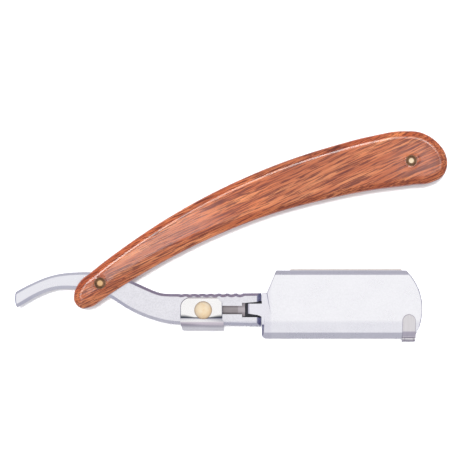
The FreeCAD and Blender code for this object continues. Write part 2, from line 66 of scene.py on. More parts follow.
PIVOT = Vector(JOINTS["arm_pivot"]["pos_m"])
END_PIN = sum(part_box("end_pin"), Vector()) / 2
HANDLE_ANGLE = math.atan2(END_PIN.y - PIVOT.y, END_PIN.x - PIVOT.x)
MIDDLE_Z = PIVOT.z


# ---------------------------------------------------------------- materials

class Nodes:
    """A material's node tree, with short calls for the nodes that every material here uses."""

    def __init__(self, name):
        self.material = bpy.data.materials.new(name)
        self.material.use_nodes = True
        self.tree = self.material.node_tree
        self.shader = self.tree.nodes["Principled BSDF"]
        coordinates = self.add("ShaderNodeTexCoord")
        self.place = coordinates.outputs["Object"]
        self.normal = coordinates.outputs["Normal"]

    def add(self, kind, **settings):
        node = self.tree.nodes.new(kind)
        for key, value in settings.items():
            setattr(node, key, value)
        return node

    def link(self, source, target):
        self.tree.links.new(source, target)

    def fixed(self, **values):
        """Numbers and colours that are the same all over, set on the shader's own sockets."""
        for key, value in values.items():
            self.shader.inputs[key.replace("_", " ")].default_value = value

    def stretched(self, scale, turn=0.0):
        """The object's own coordinates, turned about Z and then scaled along each axis."""
        turned = self.add("ShaderNodeMapping", vector_type="TEXTURE")
        turned.inputs["Rotation"].default_value = (0, 0, turn)
        self.link(self.place, turned.inputs["Vector"])
        scaled = self.add("ShaderNodeMapping", vector_type="POINT")
        scaled.inputs["Scale"].default_value = scale
        self.link(turned.outputs["Vector"], scaled.inputs["Vector"])
        return scaled.outputs["Vector"]

    def noise(self, vector, scale=1.0, detail=3.0, roughness=0.5, distortion=0.0):
        node = self.add("ShaderNodeTexNoise")
        self.link(vector, node.inputs["Vector"])
        values = {"Scale": scale, "Detail": detail, "Roughness": roughness, "Distortion": distortion}
        for key, value in values.items():
            node.inputs[key].default_value = value
        return node.outputs["Fac"]

    def ramp(self, factor, stops):
        """A colour ramp; a stop is (place, grey level) or (place, colour)."""
        node = self.add("ShaderNodeValToRGB")
        self.link(factor, node.inputs["Fac"])
        elements = node.color_ramp.elements
        while len(elements) < len(stops):
            elements.new(0.5)
        for element, (place, colour) in zip(elements, stops):
            element.position = place
            grey = isinstance(colour, (int, float))
            element.color = (colour, colour, colour, 1) if grey else (*colour, 1)
        return node.outputs["Color"]

    def mix(self, factor, first, second, blend="MIX"):
        """Mixes two colours; factor and each colour may be a socket or a plain value."""
        node = self.add("ShaderNodeMix", data_type="RGBA", blend_type=blend)
        sockets = [s for s in node.inputs if s.enabled]
        for socket, value in zip(sockets, (factor, first, second)):
            if isinstance(value, bpy.types.NodeSocket):
                self.link(value, socket)
            elif isinstance(value, (int, float)):
                socket.default_value = value
            else:
                socket.default_value = (*value, 1)
        return [s for s in node.outputs if s.enabled][0]

    def axis(self, name):
        """One of the object's own coordinates, in metres."""
        split = self.add("ShaderNodeSeparateXYZ")
        self.link(self.place, split.inputs[0])
        return split.outputs[name]

    def facing(self, x, y, z):
        """How far the surface faces a direction of the object's own: 1 straight at it, -1 away."""
        dot = self.add("ShaderNodeVectorMath", operation="DOT_PRODUCT")
        self.link(self.normal, dot.inputs[0])
        dot.inputs[1].default_value = (x, y, z)
        return dot.outputs["Value"]

    def times(self, colour, mask, factor):
        """Multiplies a colour by a factor where the mask is 1."""
        return self.mix(mask, colour, self.mix(1.0, colour, factor, "MULTIPLY"))

    def between(self, value, start, end, low=0.0, high=1.0):
        """Runs smoothly from low to high as value goes from start to end; start may be the larger."""
        node = self.add("ShaderNodeMapRange", interpolation_type="SMOOTHSTEP")
        self.link(value, node.inputs["Value"])
        for name, number in (("From Min", start), ("From Max", end), ("To Min", low), ("To Max", high)):
            if isinstance(number, bpy.types.NodeSocket):
                self.link(number, node.inputs[name])
            else:
                node.inputs[name].default_value = number
        return node.outputs["Result"]

    def maths(self, operation, first, second=0.0):
        node = self.add("ShaderNodeMath", operation=operation)
        for socket, value in zip(node.inputs, (first, second)):
            if isinstance(value, bpy.types.NodeSocket):
                self.link(value, socket)
            else:
                socket.default_value = value
        return node.outputs[0]

    def colour(self, socket):
        self.link(socket, self.shader.inputs["Base Color"])

    def roughness(self, factor, low, high):
        """Roughness that runs between two values as factor runs from 0 to 1."""
        node = self.add("ShaderNodeMapRange")
        self.link(factor, node.inputs["Value"])
        node.inputs["To Min"].default_value = low
        node.inputs["To Max"].default_value = high
        self.link(node.outputs["Result"], self.shader.inputs["Roughness"])

    def bump(self, height, distance, strength=1.0):
        node = self.add("ShaderNodeBump")
        node.inputs["Distance"].default_value = distance
        node.inputs["Strength"].default_value = strength
        self.link(height, node.inputs["Height"])
        self.link(node.outputs["Normal"], self.shader.inputs["Normal"])


GRAIN_TURN = math.radians(25)


def stretch_of(m, start, full, waning, end):
    """A soft stretch of the handle's length, by distances in millimetres along X from the pivot."""
    rising = m.between(m.axis("X"), PIVOT.x + start * MM, PIVOT.x + full * MM)
    return m.maths("MULTIPLY", rising, m.between(m.axis("X"), PIVOT.x + end * MM, PIVOT.x + waning * MM))


def lacquered_wood():
    """Red-brown hardwood: long soft bands, dark broken streaks and short pores, under clear lacquer; its
    borders and sides carry painted shade, its rounded edges a painted highlight, and stretches of its length
    a painted sheen and shade.
    """
    m = Nodes("lacquered_wood")
    bands = m.noise(m.stretched((26, 330, 330), GRAIN_TURN), detail=3, roughness=0.6, distortion=0.4)
    streaks = m.noise(m.stretched((110, 1500, 1500), GRAIN_TURN), detail=4, roughness=0.62, distortion=0.3)
    dashes = m.noise(m.stretched((140, 2700, 2700), GRAIN_TURN), detail=3, roughness=0.6)
    patches = m.noise(m.stretched((50, 190, 190), GRAIN_TURN), detail=2)
    base = m.ramp(bands, [
        (0.36, (0.55, 0.132, 0.047)), (0.50, (0.74, 0.212, 0.078)), (0.64, (0.94, 0.345, 0.138)),
    ])
    streak_mask = m.ramp(streaks, [(0.49, 0.0), (0.56, 0.75), (0.66, 1.0)])
    dash_mask = m.ramp(dashes, [(0.51, 0.0), (0.59, 0.90)])
    where = m.ramp(patches, [(0.38, 0.28), (0.58, 1.0)])
    streak_mask = m.mix(1.0, streak_mask, where, "MULTIPLY")
    dark = m.mix(streak_mask, base, (0.20, 0.037, 0.020))
    grain_and_shade = m.mix(dash_mask, dark, (0.19, 0.036, 0.020))
    across = (-math.sin(HANDLE_ANGLE), math.cos(HANDLE_ANGLE), 0.0)
    upper = m.between(m.facing(*across), 0.18, 0.36)
    lower = m.between(m.facing(*across), -0.18, -0.36)
    level = m.maths("ABSOLUTE", m.facing(0, 0, 1))
    # painted shade: the steep side walls are darkened
    side = m.between(level, 0.40, 0.10)
    # painted highlight: a pale pink rim on the rounded outer edges, between the face and the side walls
    rim = m.maths("MULTIPLY", m.between(level, 0.84, 0.66, 0.0, 0.42), m.between(level, 0.10, 0.40))
    # painted shade on the lower border, strongest near the pivot: this is its strength along the handle, used
    # below
    deeper = m.between(m.axis("X"), PIVOT.x + 70 * MM, PIVOT.x + 5 * MM, 0.35, 0.75)
    # painted shade: the upper border, picked out by the way it faces, is made more orange, and darker along
    # part of its length
    grain_and_shade = m.times(grain_and_shade, upper, (0.95, 0.80, 0.70))
    grain_and_shade = m.times(grain_and_shade, m.maths("MULTIPLY", upper, stretch_of(m, 16, 34, 78, 88)), (0.75, 0.72, 0.78))
    # painted sheen: a lighter stretch of the handle near the pivot; painted shade: a darker stretch towards
    # the far end
    grain_and_shade = m.times(grain_and_shade, stretch_of(m, 18, 30, 52, 60), (1.10, 1.08, 1.04))
    grain_and_shade = m.times(grain_and_shade, stretch_of(m, 58, 66, 76, 86), (0.90, 0.88, 0.90))
    grain_and_shade = m.times(grain_and_shade, m.maths("MULTIPLY", lower, deeper), (0.90, 0.87, 0.88))
    grain_and_shade = m.mix(rim, grain_and_shade, (0.80, 0.50, 0.47))
    m.colour(m.times(grain_and_shade, side, (0.62, 0.50, 0.56)))
    m.roughness(streaks, 0.36, 0.52)
    m.fixed(Specular_IOR_Level=0.1, Coat_Weight=1.0, Coat_Roughness=0.10, Coat_IOR=1.42)
    m.bump(dashes, 0.00003, 0.35)
    return m.material


def slot_box():
    """The lowest and highest corners of the wide end of the slot, between the lock bar and the head."""
    low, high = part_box("lock_bar")
    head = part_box("front_jaw")[0].x
    lowest = Vector((low.x, low.y - 0.3 * MM, low.z))
    highest = Vector((head + 5 * MM, high.y + 0.7 * MM, MIDDLE_Z + 1.75 * MM))
    return lowest, highest


def satin_cast_steel():
    """The arm: bead-blasted and plated, a little cloudy, with painted shade on its edges and a near-black
    painted shadow in the slot.
    """
    m = Nodes("satin_cast_steel")
    grain = m.noise(m.place, scale=5200, detail=2)
    cloud = m.noise(m.place, scale=150, detail=4, roughness=0.6)
    speckle = m.noise(m.place, scale=1900, detail=2)
    plated = m.ramp(cloud, [(0.3, (0.80, 0.79, 0.845)), (0.7, (0.875, 0.865, 0.915))])
    plated = m.mix(1.0, plated, m.ramp(speckle, [(0.35, 0.90), (0.65, 1.0)]), "MULTIPLY")
    tail = m.between(m.axis("X"), PIVOT.x + 12 * MM, PIVOT.x - 8 * MM)
    plated = m.mix(m.maths("MULTIPLY", tail, 0.8), plated, (0.84, 0.84, 0.89))
    # painted shade: the surfaces of the shank that face +Y, its upper bevel, are darkened
    shank = m.between(m.axis("X"), PIVOT.x + 6 * MM, PIVOT.x + 12 * MM)
    shaded_top_edge = m.maths("MULTIPLY", shank, m.between(m.facing(0, 1, 0), 0.18, 0.42))
    plated = m.times(plated, shaded_top_edge, (0.70, 0.68, 0.83))
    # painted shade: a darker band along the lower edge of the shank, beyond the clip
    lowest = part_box("lock_clip")[0].y + 1.7 * MM
    lower_shade_band = m.between(m.axis("Y"), lowest + 1.8 * MM, lowest + 1.2 * MM)
    beyond_clip = m.between(m.axis("X"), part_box("lock_clip")[1].x - 2 * MM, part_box("lock_clip")[1].x)
    plated = m.times(plated, m.maths("MULTIPLY", lower_shade_band, beyond_clip), (0.86, 0.86, 0.90))
    # painted shade: faces that point along X, such as the prong ends, are darkened
    shaded_end_face = m.between(m.maths("ABSOLUTE", m.facing(1, 0, 0)), 0.25, 0.55)
    plated = m.times(plated, shaded_end_face, (0.66, 0.67, 0.78))
    # painted shadow: the deep slot is painted near-black
    low, high = slot_box()
    slot_shadow = m.between(m.axis("Z"), high.z, high.z - 0.5 * MM)
    for name, start, end in (("X", low.x, high.x), ("Y", low.y, high.y)):
        edge = 0.02 * MM
        slot_shadow = m.maths("MULTIPLY", slot_shadow, m.between(m.axis(name), start - edge, start))
        slot_shadow = m.maths("MULTIPLY", slot_shadow, m.between(m.axis(name), end + edge, end))
    m.colour(m.mix(slot_shadow, plated, (0.055, 0.055, 0.065)))
    m.fixed(Metallic=1.0)
    m.roughness(cloud, 0.24, 0.32)
    m.bump(grain, 0.000012, 0.4)
    return m.material


# the head's heel edge below is drawn as a painted dark line, not as geometry
HEEL_SLANT = ((55.5, -3.4), (58.7, 4.15))    # the head's slanted edge beside the neck, mm from the pivot


def right_of(m, start, end):
    """How far a point lies to the right of the line from start to end, as seen from above."""
    along = (end - start).normalized()
    dot = m.add("ShaderNodeVectorMath", operation="DOT_PRODUCT")
    m.link(m.place, dot.inputs[0])
    dot.inputs[1].default_value = (along.y, -along.x, 0.0)
    return m.maths("SUBTRACT", dot.outputs["Value"], start.x * along.y - start.y * along.x)


def satin_jaw_steel():
    """The head: the same casting, ground flatter and brighter than the arm, with painted shade towards its
    edges.
    """
    m = Nodes("satin_jaw_steel")
    grain = m.noise(m.place, scale=5200, detail=2)
    cloud = m.noise(m.place, scale=120, detail=5, roughness=0.65)
    speckle = m.noise(m.place, scale=1900, detail=2)
    plated = m.ramp(cloud, [(0.3, (0.905, 0.900, 0.940)), (0.7, (0.955, 0.950, 0.985))])
    plated = m.mix(1.0, plated, m.ramp(speckle, [(0.35, 0.955), (0.65, 1.0)]), "MULTIPLY")
    # painted shade: a darker band along the lower part of the face, above the spine
    lower_shade_band = m.between(m.axis("Y"), PIVOT.y - 12.2 * MM, PIVOT.y - 13.6 * MM)
    plated = m.times(plated, lower_shade_band, (0.885, 0.885, 0.91))
    # painted shade: the neck, a step lower than the head's face, is darkened
    neck = m.between(m.axis("X"), PIVOT.x + 57.5 * MM, PIVOT.x + 56.0 * MM)
    plated = m.times(plated, neck, (0.92, 0.91, 0.94))
    # painted shade: a thin dark line along the head's slanted heel edge
    start, end = (PIVOT.to_2d() + Vector(p) * MM for p in HEEL_SLANT)
    heel_edge_shade = m.between(right_of(m, start, end), 0.36 * MM, 0.16 * MM)
    heel_edge_shade = m.maths("MULTIPLY", heel_edge_shade, m.between(m.axis("Y"), start.y, start.y + 0.3 * MM))
    plated = m.times(plated, heel_edge_shade, (0.72, 0.72, 0.75))
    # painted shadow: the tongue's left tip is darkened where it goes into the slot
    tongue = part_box("front_jaw")[0].x
    tongue_tip_shadow = m.between(m.axis("X"), tongue + 0.75 * MM, tongue + 0.1 * MM)
    plated = m.times(plated, tongue_tip_shadow, (0.60, 0.59, 0.66))
    # painted shade: surfaces facing +Y, the head's top bevel, are a little darker; faces that point along X,
    # such as the nose, are darkened
    plated = m.times(plated, m.between(m.facing(0, 1, 0), 0.18, 0.42), (0.91, 0.90, 0.93))
    shaded_end_face = m.between(m.maths("ABSOLUTE", m.facing(1, 0, 0)), 0.22, 0.50)
    m.colour(m.times(plated, shaded_end_face, (0.55, 0.55, 0.64)))
    m.fixed(Metallic=1.0)
    m.roughness(cloud, 0.24, 0.32)
    m.bump(grain, 0.000012, 0.4)
    return m.material


CLIP_CREASE = 4.34 * MM          # from the lowest point of the clip's fold up to its crease


def polished_sheet():
    """Bright folded sheet steel: faint rubbing marks along its travel, and painted shade at the crease,
    across the fold's bead and on its edges.
    """
    m = Nodes("polished_sheet")
    rub = m.noise(m.stretched((60, 2600, 2600)), detail=3)
    cloud = m.noise(m.place, scale=220, detail=3)
    bright = m.ramp(cloud, [(0.3, (0.90, 0.885, 0.885)), (0.7, (0.95, 0.935, 0.935))])
    low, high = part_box("lock_clip")
    crease = low.y + CLIP_CREASE
    # painted shade: a near-black band just above the crease, a dark reflection in the concave fold, wider
    # towards the clip's ends
    off_middle = m.maths("ABSOLUTE", m.maths("SUBTRACT", m.axis("X"), (low.x + high.x) / 2))
    reach = m.between(off_middle, 2.0 * MM, 6.4 * MM, 0.50 * MM, 1.50 * MM)
    above = m.maths("SUBTRACT", m.axis("Y"), crease - 0.05 * MM)
    crease_shade = m.between(m.maths("DIVIDE", above, reach), 1.0, 0.15)
    crease_shade = m.maths("MULTIPLY", crease_shade, m.between(above, 0.0, 0.05 * MM))
    # painted shade: a darker band across the middle of the fold's rounded bead
    fold = m.between(m.axis("Y"), crease - 1.0 * MM, crease - 1.6 * MM)
    fold = m.maths("MULTIPLY", fold, m.between(m.axis("Y"), crease - 3.6 * MM, crease - 1.9 * MM))
    bright = m.times(bright, fold, (0.63, 0.58, 0.655))
    # painted shade: edges facing along X and +Y are darkened
    shaded_edge = m.between(m.maths("ABSOLUTE", m.facing(1, 0, 0)), 0.25, 0.55)
    shaded_edge = m.maths("MAXIMUM", shaded_edge, m.between(m.facing(0, 1, 0), 0.25, 0.55))
    bright = m.times(bright, shaded_edge, (0.42, 0.42, 0.50))
    m.colour(m.mix(crease_shade, bright, (0.035, 0.042, 0.065)))
    m.fixed(Metallic=1.0)
    m.roughness(rub, 0.12, 0.22)
    m.bump(rub, 0.000003, 0.4)
    return m.material


def satin_strap():
    """The small hinge: rubbed sheet steel, with painted shade where it slopes down to the spine and on its
    edges.
    """
    m = Nodes("satin_strap")
    rub = m.noise(m.stretched((2400, 180, 900)), detail=3)
    worn_and_shaded = m.ramp(rub, [(0.3, (0.68, 0.655, 0.675)), (0.7, (0.75, 0.725, 0.745))])
    # painted shade: the edges, where the surface tilts from level, and the slope down to the spine are
    # darkened
    shaded_edge = m.between(m.facing(0, 0, 1), 0.92, 0.60)
    slope = m.between(m.axis("Y"), PIVOT.y - 15.9 * MM, PIVOT.y - 16.5 * MM)
    slope = m.maths("MULTIPLY", slope, m.between(m.axis("Y"), PIVOT.y - 18.1 * MM, PIVOT.y - 17.8 * MM))
    worn_and_shaded = m.times(worn_and_shaded, slope, (0.64, 0.62, 0.71))
    m.colour(m.times(worn_and_shaded, shaded_edge, (0.62, 0.57, 0.67)))
    m.fixed(Metallic=1.0)
    m.roughness(rub, 0.24, 0.36)
    m.bump(rub, 0.000004, 0.5)
    return m.material


def ground_blade():
    """Blade steel with fine grinding marks square to the edge."""
    m = Nodes("ground_blade")
    marks = m.noise(m.stretched((9000, 300, 900)), detail=2)
    m.colour(m.ramp(marks, [(0.3, (0.72, 0.66, 0.64)), (0.7, (0.82, 0.77, 0.75))]))
    m.fixed(Metallic=1.0)
    m.roughness(marks, 0.16, 0.30)
    m.bump(marks, 0.000003, 0.5)
    return m.material


def brass(name, dull, bright, roughness):
    """Brass, cloudy with handling, with painted shade at the rim and towards the lower right."""
    m = Nodes(name)
    cloud = m.noise(m.place, scale=700, detail=4, roughness=0.6)
    # painted shade: the rim, where the surface tilts from level, and the side facing the lower right are
    # darkened
    rim = m.between(m.maths("ABSOLUTE", m.facing(0, 0, 1)), 0.92, 0.62)
    metal = m.times(m.ramp(cloud, [(0.3, dull), (0.7, bright)]), rim, (0.72, 0.58, 0.42))
    m.colour(m.times(metal, m.between(m.facing(0.7, -0.7, 0.0), 0.03, 0.26), (1.0, 0.93, 0.83)))
    m.fixed(Metallic=1.0)
    m.roughness(cloud, *roughness)
    m.bump(cloud, 0.00002, 0.5)
    return m.material


def polished_brass():
    return brass("polished_brass", (0.91, 0.70, 0.45), (0.99, 0.85, 0.64), (0.22, 0.36))


def dull_brass():
    return brass("dull_brass", (0.77, 0.46, 0.22), (0.94, 0.63, 0.345), (0.34, 0.5))


def tarnished_brass():
    """The cup washers, brown with polish and dust in the recess."""
    return brass("tarnished_brass", (0.185, 0.108, 0.068), (0.45, 0.272, 0.160), (0.40, 0.6))


def dark_oxide():
    """The lock bar: oxidised steel with drawn lines along its length, and painted shade along its edges."""
    m = Nodes("dark_oxide")
    lines = m.noise(m.stretched((90, 3300, 3300)), detail=3)
    oxide = m.ramp(lines, [(0.3, (0.33, 0.295, 0.31)), (0.7, (0.52, 0.475, 0.49))])
    head = m.between(m.axis("X"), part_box("lock_bar")[1].x - 2.5 * MM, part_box("lock_bar")[1].x - 2.2 * MM)
    oxide = m.mix(m.maths("MULTIPLY", head, 0.75), oxide, (0.62, 0.57, 0.60))
    low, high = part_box("lock_bar")
    off_middle = m.maths("ABSOLUTE", m.maths("SUBTRACT", m.axis("Y"), (low.y + high.y) / 2))
    # painted shade: darker towards the bar's long edges, and darker still on its edge faces
    oxide = m.times(oxide, m.between(off_middle, 0.5 * MM, 1.1 * MM), (0.76, 0.74, 0.75))
    shaded_edge = m.between(m.facing(0, 0, 1), 0.92, 0.60)
    m.colour(m.times(oxide, shaded_edge, (0.30, 0.30, 0.36)))
    m.fixed(Metallic=1.0)
    m.roughness(lines, 0.36, 0.52)
    m.bump(lines, 0.000008, 0.6)
    return m.material


FLOOR_GLOW = 0.12


def floor_paint():
    """A white acrylic sheet, lit a little from below."""
    m = Nodes("floor_paint")
    cloud = m.noise(m.place, scale=9, detail=2)
    pale = m.ramp(cloud, [(0.3, 0.90), (0.7, 0.92)])
    m.colour(pale)
    m.link(pale, m.shader.inputs["Emission Color"])
    m.fixed(Roughness=0.9, Specular_IOR_Level=0.1, Emission_Strength=FLOOR_GLOW)
    return m.material


# ---------------------------------------------------------------- wooden scales

def flat_loops(node, height):
    """The closed outlines of a CAD node's flat face at one height, longest first."""
    mesh = bmesh.new()
    mesh.from_mesh(NODES[node].data)
    bmesh.ops.remove_doubles(mesh, verts=mesh.verts, dist=0.001 * MM)
    near = 0.005 * MM
    flat = {f for f in mesh.faces if all(abs(v.co.z - height) < near for v in f.verts)}
    mesh.edges.index_update()
    rim = {e.index: e for e in mesh.edges if sum(f in flat for f in e.link_faces) == 1}
    loops = []
    while rim:
        edge = rim.pop(min(rim))
        loop = [edge.verts[0], edge.verts[1]]
        while True:
            following = [e for e in loop[-1].link_edges if e.index in rim]
            if not following:
                break
            rim.pop(following[0].index)
            loop.append(following[0].other_vert(loop[-1]))
        loops.append([v.co.to_2d() for v in loop[:-1]])
    mesh.free()
    return sorted(loops, key=length_of, reverse=True)


def length_of(loop):
    return sum((loop[i] - loop[i - 1]).length for i in range(len(loop)))


def even_loop(loop, count):
    """The same outline, counterclockwise, with points at even steps."""
    area = sum(loop[i - 1].cross(loop[i]) for i in range(len(loop)))
    if area < 0:
        loop = loop[::-1]
    step = length_of(loop) / count
    points = []
    travelled = 0.0
    for i in range(len(loop)):
        start, end = loop[i], loop[(i + 1) % len(loop)]
        length = (end - start).length
        while len(points) * step < travelled + length and len(points) < count:
            points.append(start.lerp(end, (len(points) * step - travelled) / length))
        travelled += length
    return points


def inward(points, reach=3):
    """The inward direction at each point of a counterclockwise outline."""
    count = len(points)
    directions = []
    for i in range(count):
        along = (points[(i + reach) % count] - points[i - reach]).normalized()
        directions.append(Vector((-along.y, along.x)))
    return directions


def circle(centre, radius, count=48):
    turns = [2 * math.pi * i / count for i in range(count)]
    return [Vector((centre.x + radius * math.cos(a), centre.y + radius * math.sin(a))) for a in turns]


SCALE_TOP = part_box("front_scale")[1].z
SCALE_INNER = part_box("front_scale")[0].z
BEVEL_WIDTH = 2.3 * MM
BEVEL_DEPTH = 1.2 * MM
BEVEL_WIDEST = 1.5               # the lower border near the pivot, as a multiple of the usual width
BEVEL_AT_TOE = 0.62
TOE = (-9.7, -4.6)               # where the two borders meet in a point, along and across the handle
FACET_WIDTH = 0.85 * MM          # the eased edge between border and face
FACET_SLOPE = math.radians(14)
EDGE_RADIUS = 0.75 * MM
CREASE_RADIUS = 0.35 * MM
DOME = 0.10 * MM
DOME_REACH = 3.2 * MM
INNER_EDGE = 0.2 * MM
OUTLINE_POINTS = 520
RECESS_EDGE = 0.12 * MM
RECESS_DEPTH = 0.9 * MM
RECESS_MARGIN = 0.35 * MM        # no loose points of the face come nearer to a recess than this
CUP_GAP = 0.02 * MM
FIRST_FREE_INSET = 1.4 * MM      # from here inwards the rings may cross in the tight turns
FACE_STEP = 1.3 * MM


def corner_arc(corner, start_angle, end_angle, radius, steps):
    """(inset, height) points round a corner between two straight runs, given by their directions."""
    half = (end_angle - start_angle) / 2
    reach = radius * math.tan(abs(half))
    start = Vector(corner) - reach * Vector((math.cos(start_angle), math.sin(start_angle)))
    side = 1 if half > 0 else -1
    centre = start + radius * side * Vector((-math.sin(start_angle), math.cos(start_angle)))
    points = []
    for i in range(steps + 1):
        angle = start_angle + (end_angle - start_angle) * i / steps
        points.append(centre - radius * side * Vector((-math.sin(angle), math.cos(angle))))
    return points


def border_profile():
    """(inset, height) pairs up the outside of a scale, from its inner edge to its face."""
    facet_top = (BEVEL_WIDTH + FACET_WIDTH / 2, SCALE_TOP)
    facet_foot = (BEVEL_WIDTH - FACET_WIDTH / 2, SCALE_TOP - FACET_WIDTH * math.tan(FACET_SLOPE))
    knee = (0.0, SCALE_TOP - BEVEL_DEPTH)
    slope = math.atan2(facet_foot[1] - knee[1], facet_foot[0])
    profile = [Vector((INNER_EDGE, SCALE_INNER)), Vector((0.3 * INNER_EDGE, SCALE_INNER + 0.3 * INNER_EDGE))]
    profile += [Vector((0.0, SCALE_INNER + INNER_EDGE))]
    profile += corner_arc(knee, math.pi / 2, slope, EDGE_RADIUS, 6)
    foot = corner_arc(facet_foot, slope, FACET_SLOPE, CREASE_RADIUS, 3)
    top = corner_arc(facet_top, FACET_SLOPE, 0.0, CREASE_RADIUS, 3)
    start = profile[-1]
    profile += [start.lerp(foot[0], step / 4) for step in (1, 2, 3)]
    profile += foot + [foot[-1].lerp(top[0], 0.5)] + top
    return [Vector((p.x, min(p.y, dome_height(p.x)))) for p in profile]


def border_width(point):
    """How wide the border is at a point of the outline, as a multiple of the usual width."""
    across = Vector((-math.sin(HANDLE_ANGLE), math.cos(HANDLE_ANGLE)))
    along = Vector((across.y, -across.x))
    place = (point - PIVOT.to_2d()) / MM
    x, y = place.dot(along), place.dot(across)
    # the lower border is the part below a falling line near the pivot, and all of the lower side past it
    wide = (1 + math.tanh((-3.2 - 0.06 * x - y) / 0.5)) / 2 if x < 10 else float(y < 5)
    wide *= (1 - math.tanh((x - 42) / 12)) / 2
    toe = math.exp(-((x - TOE[0]) ** 2 + (y - TOE[1]) ** 2) / 2.2)
    return 1 + (BEVEL_WIDEST - 1) * wide * (1 - toe) - (1 - BEVEL_AT_TOE) * toe


def dome_height(inset):
    """The face rises very slightly from the crease towards its middle."""
    return SCALE_TOP - DOME * math.exp(-max(inset, 0.0) / DOME_REACH)


def wooden_scale(name, flip):
    """One scale: flat inside, with a rounded bevel outside and recesses for both pins."""
    outer, *bores = flat_loops("front_scale", SCALE_INNER)
    outline = even_loop(outer, OUTLINE_POINTS)
    widths = [border_width(p) for p in outline]
    directions = [d * width for d, width in zip(inward(outline), widths)]
    profile = border_profile()
    wall = [step for step in profile if step.x < FIRST_FREE_INSET]
    mesh = bmesh.new()
    rings = []
    for inset, height in wall:
        ring = [p + d * inset for p, d in zip(outline, directions)]
        rings.append([mesh.verts.new((*p, height)) for p in ring])
    for lower, upper in zip(rings, rings[1:]):
        bridge(mesh, lower, upper)
    rims, floors = [], []
    for bore in bores:
        rim, floor_ring = recess(mesh, loop_centre(bore), (bore[0] - loop_centre(bore)).length)
        rims.append(rim)
        floors.append(floor_ring)
    free = crease_points(outline, widths, directions, profile[len(wall):])
    free += face_points(outline, widths, profile[-1].x)
    for rim in rims:
        centre = loop_centre([v.co.to_2d() for v in rim])
        clear = (rim[0].co.to_2d() - centre).length + RECESS_MARGIN
        free = [p for p in free if (p.to_2d() - centre).length > clear]
    fill_between(mesh, rings[-1], rims, free)
    fill_between(mesh, rings[0], floors)
    if flip:
        for vert in mesh.verts:
            vert.co.z = 2 * MIDDLE_Z - vert.co.z
    bmesh.ops.recalc_face_normals(mesh, faces=mesh.faces)
    return finished_object(name, mesh)


def loop_centre(loop):
    return sum(loop, Vector((0, 0))) / len(loop)


def bridge(mesh, lower, upper):
    count = len(lower)
    for i in range(count):
        j = (i + 1) % count
        mesh.faces.new((lower[i], lower[j], upper[j], upper[i]))


def recess(mesh, centre, bore_radius):
    """The stepped hole of a pin: a recess for its cup washer, then the bore. Returns its two ends."""
    cup = "pivot_cup_front" if (centre - PIVOT.to_2d()).length < MM else "end_cup_front"
    low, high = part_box(cup)
    radius = (high.x - low.x) / 2 + CUP_GAP
    steps = [
        (radius + RECESS_EDGE, SCALE_TOP),
        (radius + 0.3 * RECESS_EDGE, SCALE_TOP - 0.3 * RECESS_EDGE),
        (radius, SCALE_TOP - RECESS_EDGE),
        (radius, SCALE_TOP - RECESS_DEPTH),
        (bore_radius, SCALE_TOP - RECESS_DEPTH),
        (bore_radius, SCALE_INNER),
    ]
    rings = [[mesh.verts.new((*p, height)) for p in circle(centre, r)] for r, height in steps]
    for upper, lower in zip(rings, rings[1:]):
        bridge(mesh, upper, lower)
    return rings[0], rings[-1]


def crease_points(outline, widths, directions, steps):
    """Rings of points over the inner border, without those that cross in the tight turns."""
    points = []
    for inset, height in steps:
        for p, d in zip(outline, directions):
            point = p + d * inset
            if depth_of(point, outline, widths) > inset - 0.03 * MM:
                points.append(Vector((*point, height)))
    return points


def face_points(outline, widths, margin):
    """A staggered grid of points over the middle of the face."""
    low = Vector((min(p.x for p in outline), min(p.y for p in outline)))
    high = Vector((max(p.x for p in outline), max(p.y for p in outline)))
    points = []
    for row in range(int((high.y - low.y) / (0.866 * FACE_STEP))):
        y = low.y + row * 0.866 * FACE_STEP
        for column in range(int((high.x - low.x) / FACE_STEP)):
            point = Vector((low.x + (column + row % 2 / 2) * FACE_STEP, y))
            depth = depth_of(point, outline, widths)
            if depth > margin + 0.35 * FACE_STEP and inside(point, outline):
                points.append(Vector((*point, dome_height(depth))))
    return points


def depth_of(point, outline, widths):
    """How far a point lies inside the outline, measured in local border widths."""
    return min((point - p).length / width for p, width in zip(outline, widths))


def fill_between(mesh, outer, holes, free=()):
    """Triangles between a closed ring of vertices, the rings of its holes, and loose points."""
    verts = list(outer)
    loops = [list(range(len(outer)))]
    for ring in holes:
        loops.append(list(range(len(verts), len(verts) + len(ring))))
        verts += ring
    verts += [mesh.verts.new(p) for p in free]
    edges = [(loop[i - 1], loop[i]) for loop in loops for i in range(len(loop))]
    flat = [v.co.to_2d() for v in verts]
    places, _, faces, sources, _, _ = delaunay_2d_cdt(flat, edges, [], 1, 1e-10)
    outline = [flat[i] for i in loops[0]]
    openings = [[flat[i] for i in loop] for loop in loops[1:]]
    for face in faces:
        corners = [min(sources[i]) for i in face]
        middle = sum((places[i] for i in face), Vector((0, 0))) / len(face)
        if inside(middle, outline) and not any(inside(middle, loop) for loop in openings):
            mesh.faces.new([verts[i] for i in corners])
    loose = [v for v in verts[len(verts) - len(free):] if not v.link_faces]
    bmesh.ops.delete(mesh, geom=loose, context="VERTS")


def inside(point, loop):
    """Whether a point lies in a closed outline, by counting crossings."""
    crossings = 0
    for i in range(len(loop)):
        a, b = loop[i - 1], loop[i]
        if (a.y > point.y) != (b.y > point.y):
            if point.x < a.x + (point.y - a.y) * (b.x - a.x) / (b.y - a.y):
                crossings += 1
    return crossings % 2 == 1


def finished_object(name, mesh, smooth_angle=35):
    """A Blender object from a bmesh, smooth except at real corners."""
    data = bpy.data.meshes.new(name)
    mesh.to_mesh(data)
    mesh.free()
    piece = bpy.data.objects.new(name, data)
    bpy.context.scene.collection.objects.link(piece)
    data.polygons.foreach_set("use_smooth", [True] * len(data.polygons))
    data.set_sharp_from_angle(angle=math.radians(smooth_angle))
    return piece


